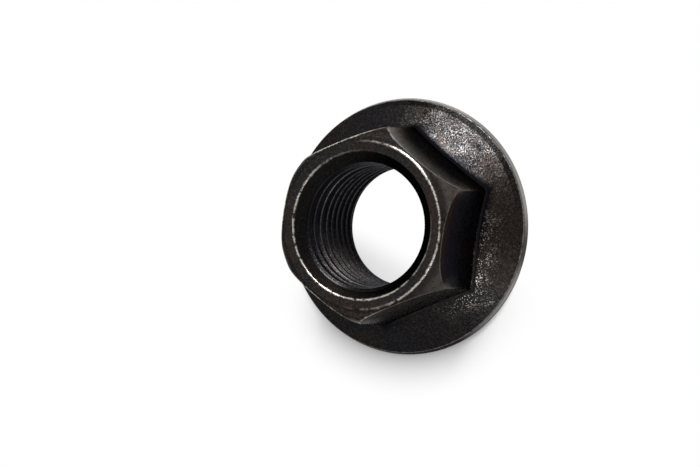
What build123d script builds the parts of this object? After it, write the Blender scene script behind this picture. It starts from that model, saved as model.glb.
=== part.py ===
"""Serrated hexagon flange nut, M16 x 1.5, cold-forged in one piece.

The nut stands on its bearing face: z = 0 is the plane of the serration crests,
and +Z runs along the thread axis to the hexagon's free end. Sizes in mm.
"""
import os
from math import acos, cos, degrees, pi, radians, sqrt, tan

from build123d import *

# Thread: the bore stands at its minor diameter, and the fine helix is left out
thread_diameter = 16.0
thread_pitch = 1.5
minor_diameter_factor = 1.0825

# Hexagon, with corners rounded in the die and a crown turned down towards them
across_flats = 21.0
nut_height = 15.0
corner_round = 0.5
crown_face_radius = 10.14
crown_curve_width = 2.65
crown_curve_height = 5.7

# Flange: a thin rim with a drafted side, and a cone that rises to the hexagon
flange_diameter = 31.4
rim_height = 1.0
rim_draft = 0.28
rim_bevel = 0.12
flange_slope = 29.0
root_fillet = 0.85

# Thread entries at the crown and at the seat: each angle is from the thread axis to the wall,
# and each margin or inset is measured from the thread's major radius. Under the crown's entry
# the hole stays wide, and a taper leads in to the minor diameter
crown_entry_margin = 0.95
crown_entry_angle = 45.0
lead_in_inset = 0.35
lead_in_angle = 5.0
seat_entry_inset = 0.1
seat_entry_angle = 45.0

# Serrations of the bearing face: ratchet teeth with narrow flat crests
serration_count = 36
serration_depth = 0.35
serration_crest_share = 0.14
serration_inner_land = 1.2
serration_outer_land = 1.15

# Worked out from the sizes above
thread_radius = thread_diameter / 2
bore_radius = thread_radius - minor_diameter_factor * thread_pitch / 2
flange_radius = flange_diameter / 2
flat_radius = across_flats / 2
corner_radius = flat_radius / cos(pi / 6)
crown_entry_radius = thread_radius + crown_entry_margin
lead_in_radius = thread_radius - lead_in_inset
seat_entry_radius = thread_radius - seat_entry_inset
crown_entry_depth = (crown_entry_radius - lead_in_radius) / tan(radians(crown_entry_angle))
lead_in_depth = (lead_in_radius - bore_radius) / tan(radians(lead_in_angle))
seat_entry_depth = (seat_entry_radius - bore_radius) / tan(radians(seat_entry_angle))
rim_front_radius = flange_radius - rim_draft
cone_top_radius = (bore_radius + flat_radius) / 2
cone_top_height = rim_height + (rim_front_radius - cone_top_radius) * tan(radians(flange_slope))
crown_curve_centre = corner_radius - crown_curve_width
crown_face_share = (crown_face_radius - crown_curve_centre) / crown_curve_width
crown_foot = nut_height - crown_curve_height * sqrt(1 - crown_face_share**2)
serration_inner_radius = seat_entry_radius + serration_inner_land
serration_outer_radius = rim_front_radius - serration_outer_land
groove_width = serration_outer_radius * 2 * pi / serration_count * (1 - serration_crest_share)
overrun = 1.0

# One groove between two serrations, with a steep side and a ramp like a ratchet's:
# the ramp's plane passes through the nut's centre, so the groove widens and deepens outwards
with BuildPart() as groove:
    with BuildSketch(Plane.YZ.offset(serration_inner_radius)):
        Rectangle(groove_width, 2 * serration_depth, align=(Align.MIN, Align.CENTER))
    extrude(amount=serration_outer_radius - serration_inner_radius)
    ramp_foot = Vector(serration_outer_radius, 0, serration_depth)
    ramp_end = Vector(serration_outer_radius, groove_width, 0)
    split(bisect_by=Plane(origin=(0, 0, 0), z_dir=ramp_foot.cross(ramp_end)), keep=Keep.BOTTOM)

with BuildPart() as nut:
    # Flange: rim and cone turned about the thread axis
    with BuildSketch(Plane.XZ):
        with BuildLine():
            Polyline(
                (0, 0),
                (flange_radius, 0),
                (rim_front_radius, rim_height),
                (cone_top_radius, cone_top_height),
                (0, cone_top_height),
                close=True,
            )
        make_face()
    revolve(axis=Axis.Z)
    rim_edges = nut.edges().filter_by(GeomType.CIRCLE).sort_by(SortBy.RADIUS)[-2:]
    chamfer(rim_edges, length=rim_bevel)

    # Hexagon standing through the cone, its foot blended into it
    with BuildSketch():
        RegularPolygon(radius=flat_radius, side_count=6, major_radius=False)
        fillet(vertices(), radius=corner_round)
    extrude(amount=nut_height)
    root_edges = nut.edges().filter_by_position(Axis.Z, rim_height + rim_bevel, cone_top_height)
    fillet(root_edges, radius=root_fillet)

    # Crown: the corners fall away from the flat end face in an elliptical curve
    with BuildSketch(Plane.XZ):
        with BuildLine():
            crown_curve = EllipticalCenterArc(
                (crown_curve_centre, crown_foot),
                crown_curve_width,
                crown_curve_height,
                start_angle=0,
                arc_size=degrees(acos(crown_face_share)),
            )
            Polyline(
                crown_curve @ 1,
                (corner_radius + overrun, nut_height),
                (corner_radius + overrun, crown_foot),
                crown_curve @ 0,
            )
        make_face()
    revolve(axis=Axis.Z, mode=Mode.SUBTRACT)

    # Bore with its two countersunk entries and the tapered lead-in
    with BuildSketch(Plane.XZ):
        with BuildLine():
            Polyline(
                (0, 0),
                (seat_entry_radius, 0),
                (bore_radius, seat_entry_depth),
                (bore_radius, nut_height - crown_entry_depth - lead_in_depth),
                (lead_in_radius, nut_height - crown_entry_depth),
                (crown_entry_radius, nut_height),
                (0, nut_height),
                close=True,
            )
        make_face()
    revolve(axis=Axis.Z, mode=Mode.SUBTRACT)

    # Serrations pressed into the bearing face, clear of the bore and the rim
    with PolarLocations(radius=0, count=serration_count):
        add(groove.part, mode=Mode.SUBTRACT)

nut.part.label = "flange_nut"

os.makedirs("parts", exist_ok=True)
export_step(nut.part, "parts/flange_nut.step")
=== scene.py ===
"""A serrated hexagon flange nut in blackened steel, M16 x 1.5, standing on a white table."""

from math import acos, cos, pi, radians, sin, sqrt, tan

import bmesh
import bpy
from mathutils import Matrix, Vector


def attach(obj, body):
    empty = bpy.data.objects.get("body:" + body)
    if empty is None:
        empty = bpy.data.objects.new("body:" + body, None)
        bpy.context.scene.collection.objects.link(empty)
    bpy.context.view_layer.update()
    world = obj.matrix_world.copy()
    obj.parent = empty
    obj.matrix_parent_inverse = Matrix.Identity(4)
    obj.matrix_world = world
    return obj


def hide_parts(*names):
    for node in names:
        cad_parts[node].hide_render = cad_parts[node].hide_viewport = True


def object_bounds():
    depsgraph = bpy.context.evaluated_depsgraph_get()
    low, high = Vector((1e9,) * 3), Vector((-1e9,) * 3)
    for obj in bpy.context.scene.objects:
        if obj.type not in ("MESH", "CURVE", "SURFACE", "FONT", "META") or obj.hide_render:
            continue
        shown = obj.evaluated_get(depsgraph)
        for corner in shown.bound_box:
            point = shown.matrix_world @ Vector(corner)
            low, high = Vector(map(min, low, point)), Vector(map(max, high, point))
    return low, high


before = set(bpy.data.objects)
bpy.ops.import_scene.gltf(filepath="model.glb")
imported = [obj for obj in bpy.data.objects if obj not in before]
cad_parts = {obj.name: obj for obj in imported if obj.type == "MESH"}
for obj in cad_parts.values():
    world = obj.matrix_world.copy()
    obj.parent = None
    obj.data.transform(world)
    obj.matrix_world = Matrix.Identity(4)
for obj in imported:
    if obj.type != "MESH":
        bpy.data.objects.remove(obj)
cad_low, cad_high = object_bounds()
mm = 0.001


# --- The nut: forged hexagon -----------------------------------------------------------
# The nut is one piece of medium-carbon steel, cold-forged from a slug of wire. The die gives
# the hexagon its rounded corners, and a turned crown takes the corners down to the end face.

across_flats = 21.0 * mm
nut_height = cad_high.z
corner_round = 0.5 * mm
crown_face_radius = 10.14 * mm
crown_curve_width = 2.65 * mm
crown_curve_height = 5.7 * mm
crown_edge_bevel = 0.1 * mm
crown_face_bevel = 0.12 * mm
crown_sliver = 0.05 * mm
fold_sliver = 0.15 * mm
least_fold = radians(12)

flat_radius = across_flats / 2
corner_radius = flat_radius / cos(pi / 6)
crown_curve_centre = corner_radius - crown_curve_width
crown_face_share = (crown_face_radius - crown_curve_centre) / crown_curve_width
crown_foot = nut_height - crown_curve_height * sqrt(1 - crown_face_share**2)
overrun = 1.0 * mm
same_place = 0.001 * mm
seam_gap = 0.0001 * mm


def pick(solid, kind, wanted):
    """In edit mode, selects only the verts, edges or faces for which wanted is true."""
    bpy.ops.mesh.select_mode(type={"verts": "VERT", "edges": "EDGE", "faces": "FACE"}[kind])
    bpy.ops.mesh.select_all(action="DESELECT")
    mesh = bmesh.from_edit_mesh(solid.data)
    for item in getattr(mesh, kind):
        if wanted(item):
            item.select_set(True)
    bmesh.update_edit_mesh(solid.data)


def edit(solid):
    """Makes one solid the only selected one and opens it in edit mode."""
    bpy.ops.object.select_all(action="DESELECT")
    bpy.context.view_layer.objects.active = solid
    solid.select_set(True)
    bpy.ops.object.mode_set(mode="EDIT")


def draw_chain(name, points):
    """A new object in edit mode: a chain of edges through (radius, height) points of the XZ plane."""
    bpy.ops.object.select_all(action="DESELECT")
    bpy.ops.mesh.primitive_plane_add(size=mm)
    chain = bpy.context.object
    chain.name = name
    bpy.ops.object.mode_set(mode="EDIT")
    bpy.ops.mesh.select_mode(type="VERT")
    bpy.ops.mesh.merge(type="CENTER")
    here = Vector((0, 0, 0))
    for index, (radius, height) in enumerate(points):
        step = Vector((radius, 0, height)) - here
        if index == 0:
            bpy.ops.transform.translate(value=step)
        else:
            bpy.ops.mesh.extrude_vertices_move(TRANSFORM_OT_translate={"value": step})
        here = here + step
    return chain


def turn_solid(name, points, rounded=(), steps=96):
    """A solid turned about +Z from an outline that starts and ends on the axis.
    rounded lists (radius, height, reach): the outline's corner there is rounded off within that reach."""
    solid = draw_chain(name, points)
    for radius, height, reach in rounded:
        corner = Vector((radius, 0, height))
        pick(solid, "verts", lambda vertex: (vertex.co - corner).length < same_place)
        bpy.ops.mesh.bevel(offset=reach, segments=3, affect="VERTICES")
    bpy.ops.mesh.select_all(action="SELECT")
    bpy.ops.mesh.spin(steps=steps, angle=2 * pi, center=(0, 0, 0), axis=(0, 0, 1))
    bpy.ops.mesh.select_all(action="SELECT")
    bpy.ops.mesh.remove_doubles(threshold=seam_gap)
    bpy.ops.mesh.normals_make_consistent(inside=False)
    bpy.ops.object.mode_set(mode="OBJECT")
    solid.rotation_euler.z = pi / steps
    bpy.ops.object.transform_apply(location=True, rotation=True, scale=True)
    return solid


def combine(body, tool, operation):
    """Joins the tool to the body, or cuts with it, and removes the tool."""
    bpy.ops.object.select_all(action="DESELECT")
    bpy.context.view_layer.objects.active = body
    body.select_set(True)
    boolean = body.modifiers.new(operation.lower(), "BOOLEAN")
    boolean.operation = operation
    boolean.solver = "MANIFOLD"
    boolean.object = tool
    bpy.ops.object.modifier_apply(modifier=boolean.name)
    bpy.data.objects.remove(tool)


def merge_close(solid, distance):
    """Merges the slivers that a cut leaves."""
    edit(solid)
    bpy.ops.mesh.select_mode(type="VERT")
    bpy.ops.mesh.select_all(action="SELECT")
    bpy.ops.mesh.remove_doubles(threshold=distance)
    bpy.ops.object.mode_set(mode="OBJECT")


bpy.ops.object.select_all(action="DESELECT")
bpy.ops.mesh.primitive_cylinder_add(
    vertices=6,
    radius=corner_radius,
    depth=nut_height,
    location=(0, 0, nut_height / 2),
    rotation=(0, 0, pi / 6),
)
nut = bpy.context.object
nut.name = "flange_nut_steel"
bpy.ops.object.transform_apply(location=True, rotation=True, scale=True)
edit(nut)
pick(nut, "edges", lambda edge: abs(edge.verts[0].co.z - edge.verts[1].co.z) > nut_height / 2)
bpy.ops.mesh.bevel(offset=corner_round * tan(pi / 6), segments=4, affect="EDGES")
bpy.ops.object.mode_set(mode="OBJECT")

crown_steps = 10
crown_start = acos(sqrt(1 - crown_face_share**2))
crown_outline = [(0, nut_height)]
for step in range(crown_steps + 1):
    angle = crown_start + (pi / 2 - crown_start) * step / crown_steps
    crown_outline.append(
        (crown_curve_centre + crown_curve_width * sin(angle), crown_foot + crown_curve_height * cos(angle))
    )
crown_outline += [(corner_radius, -overrun), (0, -overrun)]
crown = turn_solid("crown", crown_outline, [(crown_face_radius, nut_height, crown_face_bevel)])
combine(nut, crown, "INTERSECT")
merge_close(nut, crown_sliver)


def is_crown_edge(edge):
    """True where the turned crown meets an upright flat of the hexagon."""
    upright = [abs(face.normal.z) < 0.01 for face in edge.link_faces]
    if upright.count(True) != 1:
        return False
    height = (edge.verts[0].co.z + edge.verts[1].co.z) / 2
    return height > crown_foot and edge.calc_face_angle() > least_fold


edit(nut)
pick(nut, "edges", is_crown_edge)
bpy.ops.mesh.remove_doubles(threshold=fold_sliver)
pick(nut, "edges", is_crown_edge)
bpy.ops.mesh.bevel(
    offset=crown_edge_bevel, segments=2, affect="EDGES", clamp_overlap=False, loop_slide=False
)
bpy.ops.object.mode_set(mode="OBJECT")


# --- The nut: flange -------------------------------------------------------------------
# The same stroke spreads the foot of the slug into a cone with a thin rim. The rim's side has
# the die's draft, and a small fillet blends the hexagon into the cone.

flange_radius = 15.7 * mm
rim_height = 1.0 * mm
rim_draft = 0.28 * mm
rim_bevel = 0.12 * mm
flange_slope = radians(29.0)
root_fillet = 0.85 * mm
rim_front_radius = flange_radius - rim_draft
cone_top_radius = 8.844 * mm
cone_sliver = 0.02 * mm


def cone_height(radius):
    """Height of the flange's cone at a radius."""
    return rim_height + (rim_front_radius - radius) * tan(flange_slope)


cone_edge = flange_radius + overrun
cone = turn_solid(
    "cone",
    [
        (0, -overrun),
        (cone_edge, -overrun),
        (cone_edge, cone_height(cone_edge)),
        (cone_top_radius, cone_height(cone_top_radius)),
        (0, cone_height(cone_top_radius)),
    ],
    steps=60,
)
combine(nut, cone, "UNION")
merge_close(nut, cone_sliver)


def is_root_edge(edge):
    """True where a flat of the hexagon stands on the cone."""
    if len(edge.link_faces) != 2:
        return False
    low, high = sorted(face.normal.z for face in edge.link_faces)
    between = all(rim_height < vertex.co.z < cone_height(cone_top_radius) for vertex in edge.verts)
    return between and abs(low) < 0.02 and 0.8 < high < 0.95


edit(nut)
pick(nut, "edges", is_root_edge)
root_reach = root_fillet * tan((pi / 2 - flange_slope) / 2)
bpy.ops.mesh.bevel(offset=root_reach, segments=5, affect="EDGES", clamp_overlap=False, loop_slide=False)
bpy.ops.object.mode_set(mode="OBJECT")

rim_lead = 0.25 * mm
rim_lift = 0.02 * mm
rim = turn_solid(
    "rim",
    [
        (0, 0),
        (flange_radius - rim_bevel / 4, 0),
        (rim_front_radius, rim_height),
        (rim_front_radius - rim_lead, cone_height(rim_front_radius - rim_lead) + rim_lift),
        (corner_radius + overrun, nut_height),
        (corner_radius + overrun, nut_height + overrun),
        (0, nut_height + overrun),
    ],
    [(flange_radius - rim_bevel / 4, 0, rim_bevel), (rim_front_radius, rim_height, rim_bevel)],
    steps=288,
)
combine(nut, rim, "INTERSECT")


# --- The nut: bore and thread ------------------------------------------------------------
# The bore is punched, countersunk at both ends and tapped M16 x 1.5 right-hand. Each groove is a
# trapezoid with flanks at 60 degrees, and the tap leaves the crests slightly rounded over.

thread_radius = 8.0 * mm
thread_pitch = 1.5 * mm
minor_depth = 1.0825 * thread_pitch / 2
bore_radius = thread_radius - minor_depth
crown_entry_radius = 8.95 * mm
crown_entry_depth = 1.3 * mm
lead_in_radius = crown_entry_radius - crown_entry_depth
lead_in_slope = radians(5.0)
seat_entry_radius = 7.9 * mm
mouth_bevel = 0.07 * mm

lead_in_top = nut_height - crown_entry_depth
lead_in_foot = lead_in_top - (lead_in_radius - bore_radius) / tan(lead_in_slope)
bore = turn_solid(
    "bore",
    [
        (0, -overrun),
        (seat_entry_radius + overrun, -overrun),
        (bore_radius, seat_entry_radius - bore_radius),
        (bore_radius, lead_in_foot),
        (lead_in_radius, lead_in_top),
        (crown_entry_radius, nut_height),
        (crown_entry_radius + overrun, nut_height + overrun / 10),
        (crown_entry_radius + overrun, nut_height + overrun),
        (0, nut_height + overrun),
    ],
    [(crown_entry_radius, nut_height, mouth_bevel)],
    steps=144,
)
combine(nut, bore, "DIFFERENCE")

crest_rounding = 0.07 * mm
past_crest = 0.25 * mm
groove_floor_half = thread_pitch / 16
groove_mouth_half = thread_pitch * 3 / 8
flank_rise = tan(radians(30.0))
thread_turns = 13
thread_start = -2.0 * mm
half_groove = [
    (thread_radius, groove_floor_half),
    (bore_radius + crest_rounding, groove_mouth_half - crest_rounding * flank_rise),
    (bore_radius + crest_rounding * 0.3, groove_mouth_half + crest_rounding * 0.25),
    (bore_radius - past_crest, groove_mouth_half + crest_rounding * 1.4),
]
groove_outline = [(radius, thread_start - height) for radius, height in half_groove]
groove_outline += [(radius, thread_start + height) for radius, height in reversed(half_groove)]
tap = draw_chain("tap", groove_outline)
bpy.ops.mesh.select_all(action="SELECT")
bpy.ops.mesh.edge_face_add()
bpy.ops.mesh.delete(type="ONLY_FACE")
bpy.ops.object.mode_set(mode="OBJECT")
screw = tap.modifiers.new("helix", "SCREW")
screw.axis = "Z"
screw.angle = 2 * pi
screw.screw_offset = thread_pitch
screw.iterations = thread_turns
screw.steps = 120
screw.render_steps = 120
bpy.ops.object.modifier_apply(modifier=screw.name)
edit(tap)
bpy.ops.mesh.select_mode(type="EDGE")
bpy.ops.mesh.select_all(action="DESELECT")
bpy.ops.mesh.select_non_manifold()
bpy.ops.mesh.fill_holes(sides=0)
bpy.ops.mesh.select_all(action="SELECT")
bpy.ops.mesh.normals_make_consistent(inside=False)
bpy.ops.object.mode_set(mode="OBJECT")
combine(nut, tap, "DIFFERENCE")


# --- The nut: serrations -----------------------------------------------------------------
# Thirty-six ratchet teeth are pressed into the bearing face. Each has a steep side that bites
# when the nut is slackened, and a ramp that slides when it is tightened.

serration_count = 36
serration_depth = 0.35 * mm
serration_crest_share = 0.14
plain_inner_ring = 1.2 * mm
plain_outer_ring = 1.15 * mm
serration_inner_radius = seat_entry_radius + plain_inner_ring
serration_outer_radius = rim_front_radius - plain_outer_ring
groove_width = serration_outer_radius * 2 * pi / serration_count * (1 - serration_crest_share)

groove = draw_chain("groove", [(serration_outer_radius, 0), (serration_outer_radius, serration_depth)])
bpy.ops.mesh.extrude_vertices_move(
    TRANSFORM_OT_translate={"value": (0, groove_width, -serration_depth)}
)
bpy.ops.mesh.select_all(action="SELECT")
bpy.ops.mesh.edge_face_add()
bpy.ops.mesh.extrude_region_move()
bpy.ops.transform.resize(
    value=(serration_inner_radius / serration_outer_radius,) * 3, center_override=(0, 0, 0)
)
pick(groove, "faces", lambda face: all(abs(vertex.co.z) < same_place for vertex in face.verts))
bpy.ops.mesh.extrude_region_move(TRANSFORM_OT_translate={"value": (0, 0, -overrun)})
bpy.ops.mesh.select_all(action="SELECT")
bpy.ops.mesh.normals_make_consistent(inside=False)
bpy.ops.mesh.spin(
    steps=serration_count - 1,
    dupli=True,
    angle=2 * pi * (serration_count - 1) / serration_count,
    center=(0, 0, 0),
    axis=(0, 0, 1),
)
bpy.ops.object.mode_set(mode="OBJECT")
combine(nut, groove, "DIFFERENCE")

bpy.ops.object.shade_smooth_by_angle(angle=radians(28.0))
weighted = nut.modifiers.new("weighted", "WEIGHTED_NORMAL")
weighted.keep_sharp = True
bpy.ops.object.modifier_apply(modifier=weighted.name)

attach(nut, "root")
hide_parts("flange_nut")


# --- The nut: blackened steel --------------------------------------------------------------
# The steel is dipped in hot salts, which leaves a thin black oxide, and then oiled. The oxide is
# mottled and grainy. It has rubbed off to bright steel along the edges and on parts of the cone.


class Wire:
    """A node's output socket. Arithmetic on it adds maths nodes to its shader."""

    def __init__(self, socket):
        self.socket = socket

    def node(self, kind, settings, inputs, output=0):
        """Adds a node from its type, its settings, and its socket values and links. Returns one output."""
        made = self.socket.id_data.nodes.new(kind)
        for name, value in settings.items():
            setattr(made, name, value)
        for name, value in inputs.items():
            if isinstance(value, Wire):
                made.id_data.links.new(value.socket, made.inputs[name])
            else:
                made.inputs[name].default_value = value
        return Wire(made.outputs[output])

    def maths(self, operation, other=0.0):
        return self.node("ShaderNodeMath", {"operation": operation}, {0: self, 1: other})

    def __add__(self, other):
        return self.maths("ADD", other)

    def __sub__(self, other):
        return self.maths("SUBTRACT", other)

    def __mul__(self, other):
        return self.maths("MULTIPLY", other)

    def __truediv__(self, other):
        return self.maths("DIVIDE", other)

    def __rsub__(self, other):
        return self * -1.0 + other

    __radd__ = __add__
    __rmul__ = __mul__


def fade(value, start, end):
    """Rises smoothly from 0 where value is start to 1 where value is end. start may be the larger."""
    settings = {"interpolation_type": "SMOOTHSTEP"}
    return value.node("ShaderNodeMapRange", settings, {"Value": value, "From Min": start, "From Max": end})


def blend(factor, first, second):
    """Mixes two colours."""
    return factor.node("ShaderNodeMix", {"data_type": "RGBA"}, {0: factor, 6: first, 7: second}, 2)


def noise(place, scale, detail, roughness):
    """Noise from 0 to 1 with so many cells to the millimetre."""
    inputs = {"Vector": place, "Scale": scale, "Detail": detail, "Roughness": roughness}
    return place.node("ShaderNodeTexNoise", {}, inputs)


def length(first, second):
    """Length of the hypotenuse."""
    return (first * first + second * second).maths("SQRT")


def new_shader(name):
    """A material with its Principled shader, and the place on the object in millimetres."""
    material = bpy.data.materials.new(name)
    material.use_nodes = True
    tree = material.node_tree
    shader = tree.nodes["Principled BSDF"]
    place = Wire(tree.nodes.new("ShaderNodeTexCoord").outputs["Object"])
    place = place.node("ShaderNodeVectorMath", {"operation": "SCALE"}, {0: place, "Scale": 1 / mm})
    return material, shader, place


def connect(wire, shader, name):
    """Links a wire to one input of a shader."""
    shader.id_data.links.new(wire.socket, shader.inputs[name])


steel, steel_shader, place = new_shader("blackened_steel")
x = place.node("ShaderNodeSeparateXYZ", {}, {"Vector": place}, "X")
y = place.node("ShaderNodeSeparateXYZ", {}, {"Vector": place}, "Y")
z = place.node("ShaderNodeSeparateXYZ", {}, {"Vector": place}, "Z")
radius = length(x, y)

# Mottling, from broad to fine.
tint = noise(place, 0.25, 2.0, 0.5)
cluster = noise(place, 0.42, 2.0, 0.6) - 0.5
patch = noise(place, 0.9, 4.0, 0.65)
ragged = noise(place, 2.2, 4.0, 0.75) - 0.5
grain = noise(place, 3.2, 3.0, 0.6)
speck = noise(place, 6.5, 1.0, 0.6)


def on_side(x_share, y_share, start, end):
    """Rises from 0 to 1 round the nut towards a direction of the XY plane. start and end are cosines."""
    return fade((x * x_share + y * y_share) / radius, start, end)


def edge_wear(distance, reach):
    """Wear from 0 to 1 within a reach of an edge, with a ragged border."""
    return fade(distance + ragged * reach * 2.5, reach, reach * 0.2)


# Distances to the nut's own forms, in millimetres.
mouth = crown_entry_radius / mm
face = crown_face_radius / mm
flat = flat_radius / mm
rim_edge = rim_front_radius / mm
thread_top = lead_in_top / mm
half_flat = flat * tan(pi / 6)
across = y.maths("ABSOLUTE")
aslant = x.maths("ABSOLUTE") * cos(pi / 6) + across * sin(pi / 6)
flat_distance = across.maths("MAXIMUM", aslant)
along_flat = (radius * radius - flat_distance * flat_distance).maths("MAXIMUM", 0.0).maths("SQRT")
crown_share = (radius - crown_curve_centre / mm) / (crown_curve_width / mm)
crown_height = (1.0 - crown_share * crown_share).maths("MAXIMUM", 0.0).maths("SQRT")
crown_height = crown_height * (crown_curve_height / mm) + crown_foot / mm
under_crown = crown_height - z
over_cone = z - rim_height / mm - (rim_edge - radius) * tan(flange_slope)
root_gap = length((flat_distance - flat).maths("MAXIMUM", 0.0), over_cone)
corner_gap = length(along_flat - half_flat, (z - crown_foot / mm) * 0.7)
crest_radius = (z - lead_in_foot / mm).maths("MAXIMUM", 0.0) * tan(lead_in_slope) + bore_radius / mm

# Each form of the nut as a mask.
outside_mouth = fade(radius, mouth - 0.05, mouth + 0.35)
inside_mouth = fade(radius, mouth - 0.02, mouth - 0.1)
on_entry = inside_mouth * fade(z, thread_top - 0.05, thread_top + 0.02)
in_thread = inside_mouth * fade(z, thread_top + 0.05, thread_top - 0.02)
on_crest = in_thread * fade(radius - crest_radius, 0.12, 0.06)
on_cone = fade(over_cone, 1.0, 0.1) * outside_mouth
on_flat = fade(flat_distance, flat - 0.05, flat - 0.01) * fade(over_cone, 0.2, 0.8)
on_crown = fade(radius, face + 0.01, face + 0.31) * fade(over_cone, 1.0, 2.0) * (1.0 - on_flat)
near_corner = fade(radius, flat - 0.1, flat + 0.7)
on_rim = fade(radius, rim_edge - 0.03, rim_edge + 0.02)

# The oxide: brown and blue patches under lighter grains, dark pores and bright specks. One side
# of the cone is burnished, and a band of painted shade darkens its outer edge there. The top and
# bottom of the cone are darkened with a cool painted shade. The flats are smoother than the rest.
oxide = (0.031, 0.0285, 0.028, 1)
brown = (0.052, 0.035, 0.028, 1)
blue = (0.024, 0.027, 0.037, 1)
painted_shade_blue = (0.028, 0.028, 0.036, 1)
worn_oxide = (0.085, 0.075, 0.068, 1)
bright_grain = (0.17, 0.165, 0.16, 1)
near_black = (0.004, 0.004, 0.004, 1)
brown_patches = (fade(tint, 0.45, 0.6) * 0.5).maths("MAXIMUM", on_side(0.93, -0.36, 0.75, 1.0) * 0.8)
blue_patches = fade(patch, 0.5, 0.62) * 0.4
# Painted shade: a cool, darker tone on the top and bottom sides of the cone.
painted_cool_shade_sides = on_side(-0.17, -0.98, 0.8, 0.97).maths("MAXIMUM", on_side(0.1, 0.99, 0.85, 0.98))
roughness_share = 1.0 - 0.7 * on_flat
light_grains = fade(grain, 0.5, 0.64) * (0.45 + 0.25 * on_crown) * roughness_share
burnished = on_cone * on_side(0.77, 0.64, 0.76, 0.97) * (0.25 + 0.75 * fade(patch, 0.4, 0.55))
clouds = cluster * burnished
pore_share = (0.3 + 0.2 * on_cone + 0.45 * burnished) * roughness_share
pores = fade(speck + clouds * 0.5, 0.52, 0.4) * pore_share
speck_share = 0.15 + 0.2 * on_cone * on_side(1.0, -0.3, 0.3, 0.9) + 0.65 * burnished
bright_specks = fade(speck + clouds * 0.7, 0.55, 0.68) * speck_share * roughness_share
# Painted shade: a dark band just inside the rim, on the burnished side of the cone.
painted_lip_shade = fade(radius + grain * 0.3, rim_edge - 0.62, rim_edge - 0.44) * on_side(0.82, 0.57, 0.6, 0.92)

# The thread: painted shade darkens the bore's thread, less on the lamp-lit wall further down. The
# lands are grey, and the crests are rubbed to thin lines of steel.
thread_black = (0.007, 0.007, 0.008, 1)
thread_grey = (0.018, 0.018, 0.021, 1)
crest_steel = (0.24, 0.24, 0.26, 1)
lit_wall = on_side(-0.9, -0.43, 0.5, 0.95)
# Painted shade over the thread, lighter on the lamp-lit wall below the top turns.
painted_thread_shade = in_thread * (0.9 - 0.65 * fade(z, 13.0, 8.0) * lit_wall)
thread_specks = in_thread * fade(speck, 0.58, 0.7) * 0.4 * lit_wall
crest_line = on_crest * fade(radius - crest_radius, 0.004, 0.02)
crest_line = crest_line * fade(z, 14.0, 8.0) * fade(grain, 0.3, 0.5) * (1.0 - lit_wall * 0.8)

# The hexagon: handling has greyed the crown, and the corners are greyed by wear with a painted
# sheen. Two flats carry a painted sheen, one flat painted shade, and a low corner a painted glint.
corner_grey = (0.15, 0.136, 0.125, 1)
sheen = (0.3, 0.28, 0.26, 1)
crown_wear = on_crown * on_side(0.95, -0.3, 0.3, 0.95) * (0.15 + 0.6 * fade(patch, 0.38, 0.58))
# Corners greyed by wear, lightened further by a painted sheen where the blunted corners catch the light.
corner_wear_and_sheen = fade(corner_gap + ragged, 2.3, 0.5) * near_corner * on_side(1.0, -0.2, -0.2, 0.5)
corner_wear_and_sheen = corner_wear_and_sheen * (1.0 - 0.75 * on_flat * on_side(0.5, -0.87, 0.9, 0.3))
corner_wear_and_sheen = corner_wear_and_sheen * (0.5 + 0.5 * on_side(0.5, -0.87, -0.5, 0.7))
# Painted glint: the low corner is lightened as if it mirrored the white table.
painted_corner_glint = fade(corner_gap + ragged, 3.0, 0.8) * near_corner * on_side(-0.5, -0.866, 0.9, 0.98)
# Painted shade: one flat is darkened with a blue-black tone below the crown's edge.
painted_shade_flat = on_flat * on_side(0.866, -0.5, 0.84, 0.87) * fade(under_crown, 0.0, 2.5)
# Painted sheen on two flats: on one it fades down from the crown's edge, the other is lighter all over.
painted_upper_sheen = on_flat * on_side(0.866, 0.5, 0.855, 0.88) * fade(under_crown, 6.5, -1.5)
painted_lower_sheen = on_flat * on_side(0.0, -1.0, 0.855, 0.88)

# The flange: painted shade at the hexagon's root, pits rubbed bright beside it, and a rim lightened
# as bare steel and as a painted reflection of the table.
painted_root_shade_black = (0.009, 0.009, 0.011, 1)
glint = (0.85, 0.8, 0.75, 1)
bare_and_reflection_grey = (0.8, 0.77, 0.75, 1)
# Painted shade: the hexagon's root is darkened, least on the low side by the pits.
painted_root_shade = fade(root_gap + ragged, 1.2, 0.3) * outside_mouth * on_side(0.2, -0.98, 1.1, 0.6)
painted_root_shade = painted_root_shade * (0.6 + 0.35 * fade(root_gap, 0.9, 0.4))
pitted = on_cone * on_side(0.66, -0.75, 0.75, 0.97) * fade(root_gap, 0.25, 0.5)
pitted = pitted * fade(root_gap + patch * 2.0, 4.0, 1.0)
pits = fade(speck + cluster * 0.6, 0.61, 0.66) * pitted
# The rim's side is lightened as bare steel and as a painted reflection of the white table, brighter on
# three sides.
painted_rim_reflection = 0.4 * on_side(0.5, 0.866, 0.0, 0.35) + 0.5 * on_side(0.17, 0.98, 0.55, 1.0)
painted_rim_reflection = painted_rim_reflection + 0.4 * on_side(0.5, -0.866, 0.9, 1.0)
rim_bare_and_reflection = on_rim * (0.06 + 0.94 * painted_rim_reflection) * (0.15 + 0.85 * fade(z + grain * 0.3, 1.15, 0.65))

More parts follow.
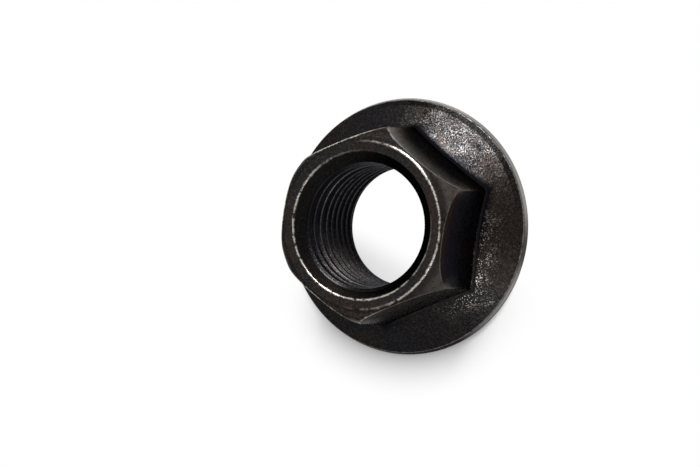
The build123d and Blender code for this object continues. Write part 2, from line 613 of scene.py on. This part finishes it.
# The edges: bare steel, more on the sides that knock against other things.
bare = (0.84, 0.78, 0.70, 1)
mouth_ring = length(radius - mouth, z - nut_height / mm)
face_ring = length(radius - face, z - nut_height / mm)
flat_ring = length(flat - flat_distance, under_crown)
rim_ring = length(radius - rim_edge, z - rim_height / mm)
broken = fade(noise(place, 0.8, 3.0, 0.7), 0.36, 0.56)
mouth_wear = broken * edge_wear(mouth_ring, 0.2) * on_side(-0.9, -0.43, -1.0, 0.6)
face_wear = broken * edge_wear(face_ring, 0.19) * on_side(0.9, -0.43, -0.3, 0.75)
flat_share = on_side(-0.5, 0.87, -0.1, 0.95).maths("MAXIMUM", 0.6 * on_side(-0.87, -0.5, 0.5, 0.9))
flat_wear = edge_wear(flat_ring, 0.1 + flat_share * 0.12) * (0.08 + 0.92 * flat_share)
rim_wear = edge_wear(rim_ring, 0.1) * 0.3
bare_edges = mouth_wear.maths("MAXIMUM", face_wear).maths("MAXIMUM", flat_wear).maths("MAXIMUM", rim_wear)

coats = [
    (brown_patches, brown),
    (blue_patches, blue),
    (on_cone * painted_cool_shade_sides * 0.4, painted_shade_blue),
    (light_grains, worn_oxide),
    (pores, near_black),
    (bright_specks, bright_grain),
    (painted_lip_shade * 0.85, near_black),
    # The entry chamfer at the mouth of the bore is darkened.
    (on_entry * 0.4, near_black),
    (painted_thread_shade, thread_black),
    (on_crest * 0.9, thread_grey),
    (thread_specks, bright_grain),
    (crest_line, crest_steel),
    (crown_wear, worn_oxide),
    (corner_wear_and_sheen, corner_grey),
    (painted_shade_flat * 0.8, painted_shade_blue),
    (painted_upper_sheen, sheen),
    (painted_corner_glint, bare_and_reflection_grey),
    (painted_lower_sheen * 0.5, sheen),
    (painted_root_shade, painted_root_shade_black),
    (pits, glint),
    (rim_bare_and_reflection, bare_and_reflection_grey),
    (bare_edges, bare),
]
colour = oxide
for share, coat in coats:
    colour = blend(share, colour, coat)
connect(colour, steel_shader, "Base Color")
steel_shader.inputs["Metallic"].default_value = 1.0
steel_shader.inputs["Specular Tint"].default_value = (0.4, 0.4, 0.4, 1)
connect(0.2 + patch * 0.14 + in_thread * 0.15, steel_shader, "Roughness")
relief_depth = 0.035 * mm
relief = speck * (0.15 + 0.85 * on_cone + 0.25 * on_crown) * (1.0 - 0.8 * on_flat)
bump = relief.node(
    "ShaderNodeBump", {}, {"Strength": 1.0, "Distance": relief_depth, "Height": relief}, "Normal"
)
connect(bump, steel_shader, "Normal")

nut.data.materials.clear()
nut.data.materials.append(steel)


# --- Table -------------------------------------------------------------------------------
# A smooth white table top under the nut, with a plain white surround. To the camera, the table
# keeps its shading beside the nut and inside the bore, and is plain white elsewhere.

bpy.ops.object.select_all(action="DESELECT")
bpy.ops.mesh.primitive_plane_add(size=2.0)
table = bpy.context.object
table.name = "table"

paper, paper_shader, paper_place = new_shader("white_table")
paper_shader.inputs["Base Color"].default_value = (0.95, 0.95, 0.95, 1)
paper_shader.inputs["Roughness"].default_value = 0.9
paper_shader.inputs["Specular IOR Level"].default_value = 0.0
glow = paper.node_tree.nodes.new("ShaderNodeEmission")

halo_start = flange_radius / mm - 0.2
halo_width = 6.0
opening_radius = 7.2
table_x = paper_place.node("ShaderNodeSeparateXYZ", {}, {"Vector": paper_place}, "X")
table_y = paper_place.node("ShaderNodeSeparateXYZ", {}, {"Vector": paper_place}, "Y")
table_radius = length(table_x, table_y)
shadow_side = (table_x * -0.36 + table_y * -0.93) / table_radius
past_rim = ((table_radius - halo_start) / halo_width).maths("MAXIMUM", 0.0).maths("MINIMUM", 1.0)
halo = fade(shadow_side, 0.3, 0.85) * (1.0 - past_rim) * (1.0 - past_rim)
in_bore = fade(table_radius, 9.0, 8.0)
wall_shade = (table_x * -0.75 + table_y * -0.66) / opening_radius
kept = halo * (1.0 - in_bore) + fade(wall_shade, 0.35, 1.05) * 0.35 * in_bore

seen = paper_place.node("ShaderNodeLightPath", {}, {}, "Is Camera Ray")
mirrored = paper_place.node("ShaderNodeLightPath", {}, {}, "Is Glossy Ray")
whitened = ((1.0 - kept) * seen).maths("MAXIMUM", in_bore * mirrored)
paper_tree = paper.node_tree
mixed = paper_tree.nodes.new("ShaderNodeMixShader")
paper_tree.links.new(whitened.socket, mixed.inputs["Fac"])
paper_tree.links.new(paper_shader.outputs[0], mixed.inputs[1])
paper_tree.links.new(glow.outputs[0], mixed.inputs[2])
paper_tree.links.new(mixed.outputs[0], paper_tree.nodes["Material Output"].inputs["Surface"])
table.data.materials.append(paper)

world = bpy.data.worlds.new("surround")
bpy.context.scene.world = world
world.use_nodes = True
backdrop = world.node_tree.nodes["Background"]
outward = Wire(world.node_tree.nodes.new("ShaderNodeTexCoord").outputs["Generated"])


def sky_share(direction, start, end):
    """Rises from 0 to 1 where the view turns towards a direction: start and end are cosines."""
    nearness = outward.node(
        "ShaderNodeVectorMath", {"operation": "DOT_PRODUCT"}, {0: outward, 1: direction}, "Value"
    )
    return fade(nearness, start, end)


horizon_grey = (0.34, 0.34, 0.345, 1)
ceiling_grey = (0.62, 0.62, 0.62, 1)
screen_grey = (0.26, 0.26, 0.26, 1)
white = (1, 1, 1, 1)
overhead = sky_share((-0.1, 0.35, 0.93), 0.5, 1.0)
dark_screen = sky_share((0.85, -0.38, 0.36), cos(radians(58.0)), cos(radians(28.0)))
straight = outward.node("ShaderNodeLightPath", {}, {}, "Is Camera Ray")
sky = blend(overhead, horizon_grey, ceiling_grey)
sky = blend(dark_screen, sky, screen_grey)
sky = blend(straight, sky, white)
connect(sky, backdrop, "Color")


# --- Lamps and camera --------------------------------------------------------------------
# A soft lamp stands high on one side of the nut, and a small weak one on the other. The camera
# looks down on the end face through a long lens.


def aim(thing, place, target, roll_up):
    """Places a lamp or camera and points its -Z axis at the target."""
    forward = (target - place).normalized()
    side = forward.cross(roll_up).normalized()
    turned = Matrix((side, side.cross(forward), -forward)).transposed().to_4x4()
    turned.translation = place
    thing.matrix_world = turned


def disk_lamp(name, direction, distance, half_angle, radiance):
    """A round soft lamp that shines at the nut and looks equally bright all over."""
    data = bpy.data.lights.new(name, "AREA")
    data.shape = "DISK"
    data.size = 2 * distance * tan(half_angle)
    data.energy = radiance * pi * pi * (data.size / 2) ** 2
    lamp = bpy.data.objects.new(name, data)
    bpy.context.scene.collection.objects.link(lamp)
    aim(lamp, Vector(direction).normalized() * distance, Vector((0, 0, 0)), Vector((0, 0, 1)))


key_from = (0.39, 0.62, 0.68)
kicker_from = (0.206, -0.602, 0.7725)
disk_lamp("key", key_from, distance=0.6, half_angle=radians(10.0), radiance=24.0)
disk_lamp("kicker", kicker_from, distance=0.6, half_angle=radians(6.0), radiance=5.0)

camera_data = bpy.data.cameras.new("camera")
camera_data.sensor_width = 36.0
camera_data.lens = 355.218
camera_data.clip_start = 0.01
camera = bpy.data.objects.new("camera", camera_data)
bpy.context.scene.collection.objects.link(camera)
bpy.context.scene.camera = camera
camera_place = Vector((0.29662, -0.12258, 0.77984))
camera_forward = Vector((-0.3595, 0.1472, -0.9215))
camera_up = Vector((0.3585, 0.9335, 0.0093))
aim(camera, camera_place, camera_place + camera_forward, camera_up)

bpy.context.scene.view_settings.view_transform = "Standard"
